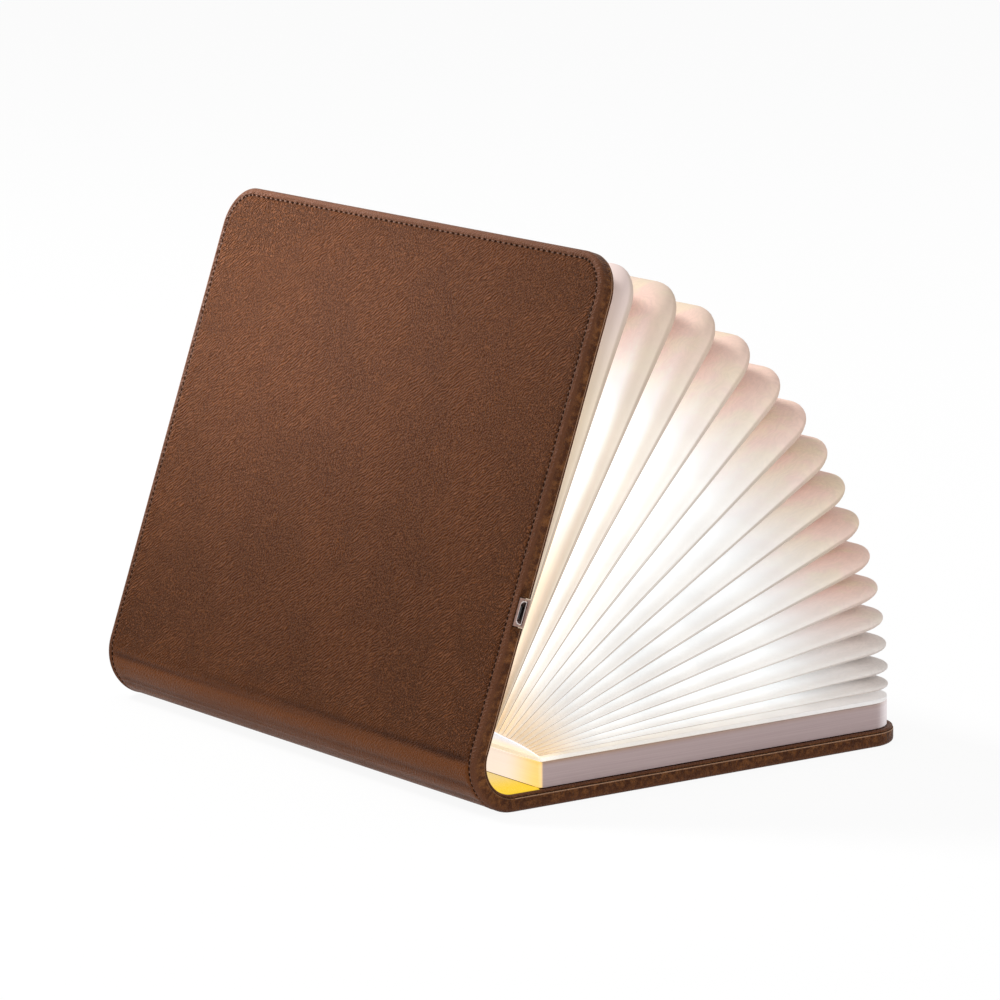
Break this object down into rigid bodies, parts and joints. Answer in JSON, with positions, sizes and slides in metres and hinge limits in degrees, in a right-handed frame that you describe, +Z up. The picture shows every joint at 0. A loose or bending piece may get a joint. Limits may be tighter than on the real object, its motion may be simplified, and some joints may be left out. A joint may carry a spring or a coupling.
{
  "type": "folding book lamp",
  "caption": "Rechargeable lamp shaped like a hardback book: two leather covers on a soft spine fold open to fan out and light a pleated paper bellows.",
  "frame": {"origin": "middle of the back cover's underside, the flat face that the lamp rests on", "axes": "+X along the spine towards the tail edge, +Y from the spine to the fore-edge, +Z up out of the back cover"},
  "size_m": [0.215, 0.1756, 0.1716],
  "materials": {
    "cover_leather": "pebbled brown leather with a satin surface",
    "grey_board": "plain grey binder's board",
    "bellows_paper": "coated white pleated sheet, warm where it is lit",
    "tray_plastic": "matte pale grey moulding with fine lines like page edges",
    "diffuser_plastic": "frosted light diffuser",
    "circuit_board": "green solder mask",
    "led_case": "yellow phosphor in a white case",
    "plated_metal": "nickel-plated, slightly pink",
    "black_plastic": "matte black",
    "battery_foil": "silver pouch foil",
    "ribbon_film": "amber film"
  },
  "bodies": {
    "back_cover": {"back_leather": "cover_leather", "back_board": "grey_board", "back_lining": "cover_leather", "back_magnet_head": "plated_metal", "back_magnet_tail": "plated_metal", "page_tray": "tray_plastic", "battery": "battery_foil", "led_board": "circuit_board", "led_1": "led_case", "led_2": "led_case", "led_3": "led_case", "led_4": "led_case", "led_5": "led_case", "led_6": "led_case", "driver_board": "circuit_board", "hall_switch": "black_plastic", "light_diffuser": "diffuser_plastic", "base_leaf": "bellows_paper"},
    "spine": {"spine_leather": "cover_leather", "spine_lining": "cover_leather", "power_ribbon": "ribbon_film", "page_liner": "bellows_paper"},
    "front_cover": {"front_leather": "cover_leather", "front_board": "grey_board", "front_lining": "cover_leather", "front_magnet_head": "plated_metal", "front_magnet_tail": "plated_metal", "trigger_magnet": "plated_metal", "charge_board": "circuit_board", "usb_socket": "plated_metal", "usb_tongue": "black_plastic", "port_bezel": "plated_metal", "front_leaf": "bellows_paper"},
    "pleat_01_leaf": {"pleat_01": "bellows_paper"},
    "pleat_02_leaf": {"pleat_02": "bellows_paper"},
    "pleat_03_leaf": {"pleat_03": "bellows_paper"},
    "pleat_04_leaf": {"pleat_04": "bellows_paper"},
    "pleat_05_leaf": {"pleat_05": "bellows_paper"},
    "pleat_06_leaf": {"pleat_06": "bellows_paper"},
    "pleat_07_leaf": {"pleat_07": "bellows_paper"},
    "pleat_08_leaf": {"pleat_08": "bellows_paper"},
    "pleat_09_leaf": {"pleat_09": "bellows_paper"},
    "pleat_10_leaf": {"pleat_10": "bellows_paper"},
    "pleat_11_leaf": {"pleat_11": "bellows_paper"},
    "pleat_12_leaf": {"pleat_12": "bellows_paper"},
    "pleat_13_leaf": {"pleat_13": "bellows_paper"},
    "pleat_14_leaf": {"pleat_14": "bellows_paper"},
    "pleat_15_leaf": {"pleat_15": "bellows_paper"}
  },
  "joints": [
    {"name": "back_hinge", "type": "hinge", "parent": "back_cover", "child": "spine", "pos_m": [0, -0.08224, 0.0063], "axis": [1, 0, 0], "range_deg": [-35.35, 144.65], "deforming": ["spine_leather", "spine_lining", "power_ribbon", "page_liner"]},
    {"name": "front_hinge", "type": "hinge", "parent": "spine", "child": "front_cover", "pos_m": [0, -0.08976, 0.0169], "axis": [1, 0, 0], "range_deg": [-35.35, 144.65]},
    {"name": "pleat_01_fold", "type": "hinge", "parent": "spine", "child": "pleat_01_leaf", "pos_m": [0, -0.08943, 0.01643], "axis": [1, 0, 0], "range_deg": [-32.21, 131.77], "deforming": ["pleat_01"]},
    {"name": "pleat_02_fold", "type": "hinge", "parent": "spine", "child": "pleat_02_leaf", "pos_m": [0, -0.08872, 0.01543], "axis": [1, 0, 0], "range_deg": [-25.53, 104.46], "deforming": ["pleat_02"]},
    {"name": "pleat_03_fold", "type": "hinge", "parent": "spine", "child": "pleat_03_leaf", "pos_m": [0, -0.08803, 0.01447], "axis": [1, 0, 0], "range_deg": [-19.1, 78.12], "deforming": ["pleat_03"]},
    {"name": "pleat_04_fold", "type": "hinge", "parent": "spine", "child": "pleat_04_leaf", "pos_m": [0, -0.08737, 0.01354], "axis": [1, 0, 0], "range_deg": [-12.9, 52.79], "deforming": ["pleat_04"]},
    {"name": "pleat_05_fold", "type": "hinge", "parent": "spine", "child": "pleat_05_leaf", "pos_m": [0, -0.08674, 0.01265], "axis": [1, 0, 0], "range_deg": [-6.97, 28.51], "deforming": ["pleat_05"]},
    {"name": "pleat_06_fold", "type": "hinge", "parent": "spine", "child": "pleat_06_leaf", "pos_m": [0, -0.08614, 0.0118], "axis": [1, 0, 0], "range_deg": [-1.31, 5.33], "deforming": ["pleat_06"]},
    {"name": "pleat_07_fold", "type": "hinge", "parent": "spine", "child": "pleat_07_leaf", "pos_m": [0, -0.08557, 0.01099], "axis": [1, 0, 0], "range_deg": [-16.71, 4.09], "deforming": ["pleat_07"]},
    {"name": "pleat_08_fold", "type": "hinge", "parent": "spine", "child": "pleat_08_leaf", "pos_m": [0, -0.08503, 0.01023], "axis": [1, 0, 0], "range_deg": [-37.53, 9.18], "deforming": ["pleat_08"]},
    {"name": "pleat_09_fold", "type": "hinge", "parent": "spine", "child": "pleat_09_leaf", "pos_m": [0, -0.08452, 0.00951], "axis": [1, 0, 0], "range_deg": [-57.07, 13.95], "deforming": ["pleat_09"]},
    {"name": "pleat_10_fold", "type": "hinge", "parent": "spine", "child": "pleat_10_leaf", "pos_m": [0, -0.08404, 0.00884], "axis": [1, 0, 0], "range_deg": [-75.24, 18.39], "deforming": ["pleat_10"]},
    {"name": "pleat_11_fold", "type": "hinge", "parent": "spine", "child": "pleat_11_leaf", "pos_m": [0, -0.08361, 0.00823], "axis": [1, 0, 0], "range_deg": [-91.92, 22.47], "deforming": ["pleat_11"]},
    {"name": "pleat_12_fold", "type": "hinge", "parent": "spine", "child": "pleat_12_leaf", "pos_m": [0, -0.08322, 0.00768], "axis": [1, 0, 0], "range_deg": [-106.99, 26.15], "deforming": ["pleat_12"]},
    {"name": "pleat_13_fold", "type": "hinge", "parent": "spine", "child": "pleat_13_leaf", "pos_m": [0, -0.08287, 0.0072], "axis": [1, 0, 0], "range_deg": [-120.25, 29.39], "deforming": ["pleat_13"]},
    {"name": "pleat_14_fold", "type": "hinge", "parent": "spine", "child": "pleat_14_leaf", "pos_m": [0, -0.08258, 0.00679], "axis": [1, 0, 0], "range_deg": [-131.41, 32.12], "deforming": ["pleat_14"]},
    {"name": "pleat_15_fold", "type": "hinge", "parent": "spine", "child": "pleat_15_leaf", "pos_m": [0, -0.08236, 0.00647], "axis": [1, 0, 0], "range_deg": [-140, 34.22], "deforming": ["pleat_15"]}
  ],
  "couplings": [
    {"joint": "front_hinge", "follows": "back_hinge", "ratio": 1},
    {"joint": "pleat_01_fold", "follows": "back_hinge", "ratio": 0.91094},
    {"joint": "pleat_02_fold", "follows": "back_hinge", "ratio": 0.72212},
    {"joint": "pleat_03_fold", "follows": "back_hinge", "ratio": 0.54003},
    {"joint": "pleat_04_fold", "follows": "back_hinge", "ratio": 0.36492},
    {"joint": "pleat_05_fold", "follows": "back_hinge", "ratio": 0.19708},
    {"joint": "pleat_06_fold", "follows": "back_hinge", "ratio": 0.03682},
    {"joint": "pleat_07_fold", "follows": "back_hinge", "ratio": -0.1155},
    {"joint": "pleat_08_fold", "follows": "back_hinge", "ratio": -0.25944},
    {"joint": "pleat_09_fold", "follows": "back_hinge", "ratio": -0.39451},
    {"joint": "pleat_10_fold", "follows": "back_hinge", "ratio": -0.5201},
    {"joint": "pleat_11_fold", "follows": "back_hinge", "ratio": -0.63546},
    {"joint": "pleat_12_fold", "follows": "back_hinge", "ratio": -0.73962},
    {"joint": "pleat_13_fold", "follows": "back_hinge", "ratio": -0.83127},
    {"joint": "pleat_14_fold", "follows": "back_hinge", "ratio": -0.90845},
    {"joint": "pleat_15_fold", "follows": "back_hinge", "ratio": -0.96781}
  ]
}
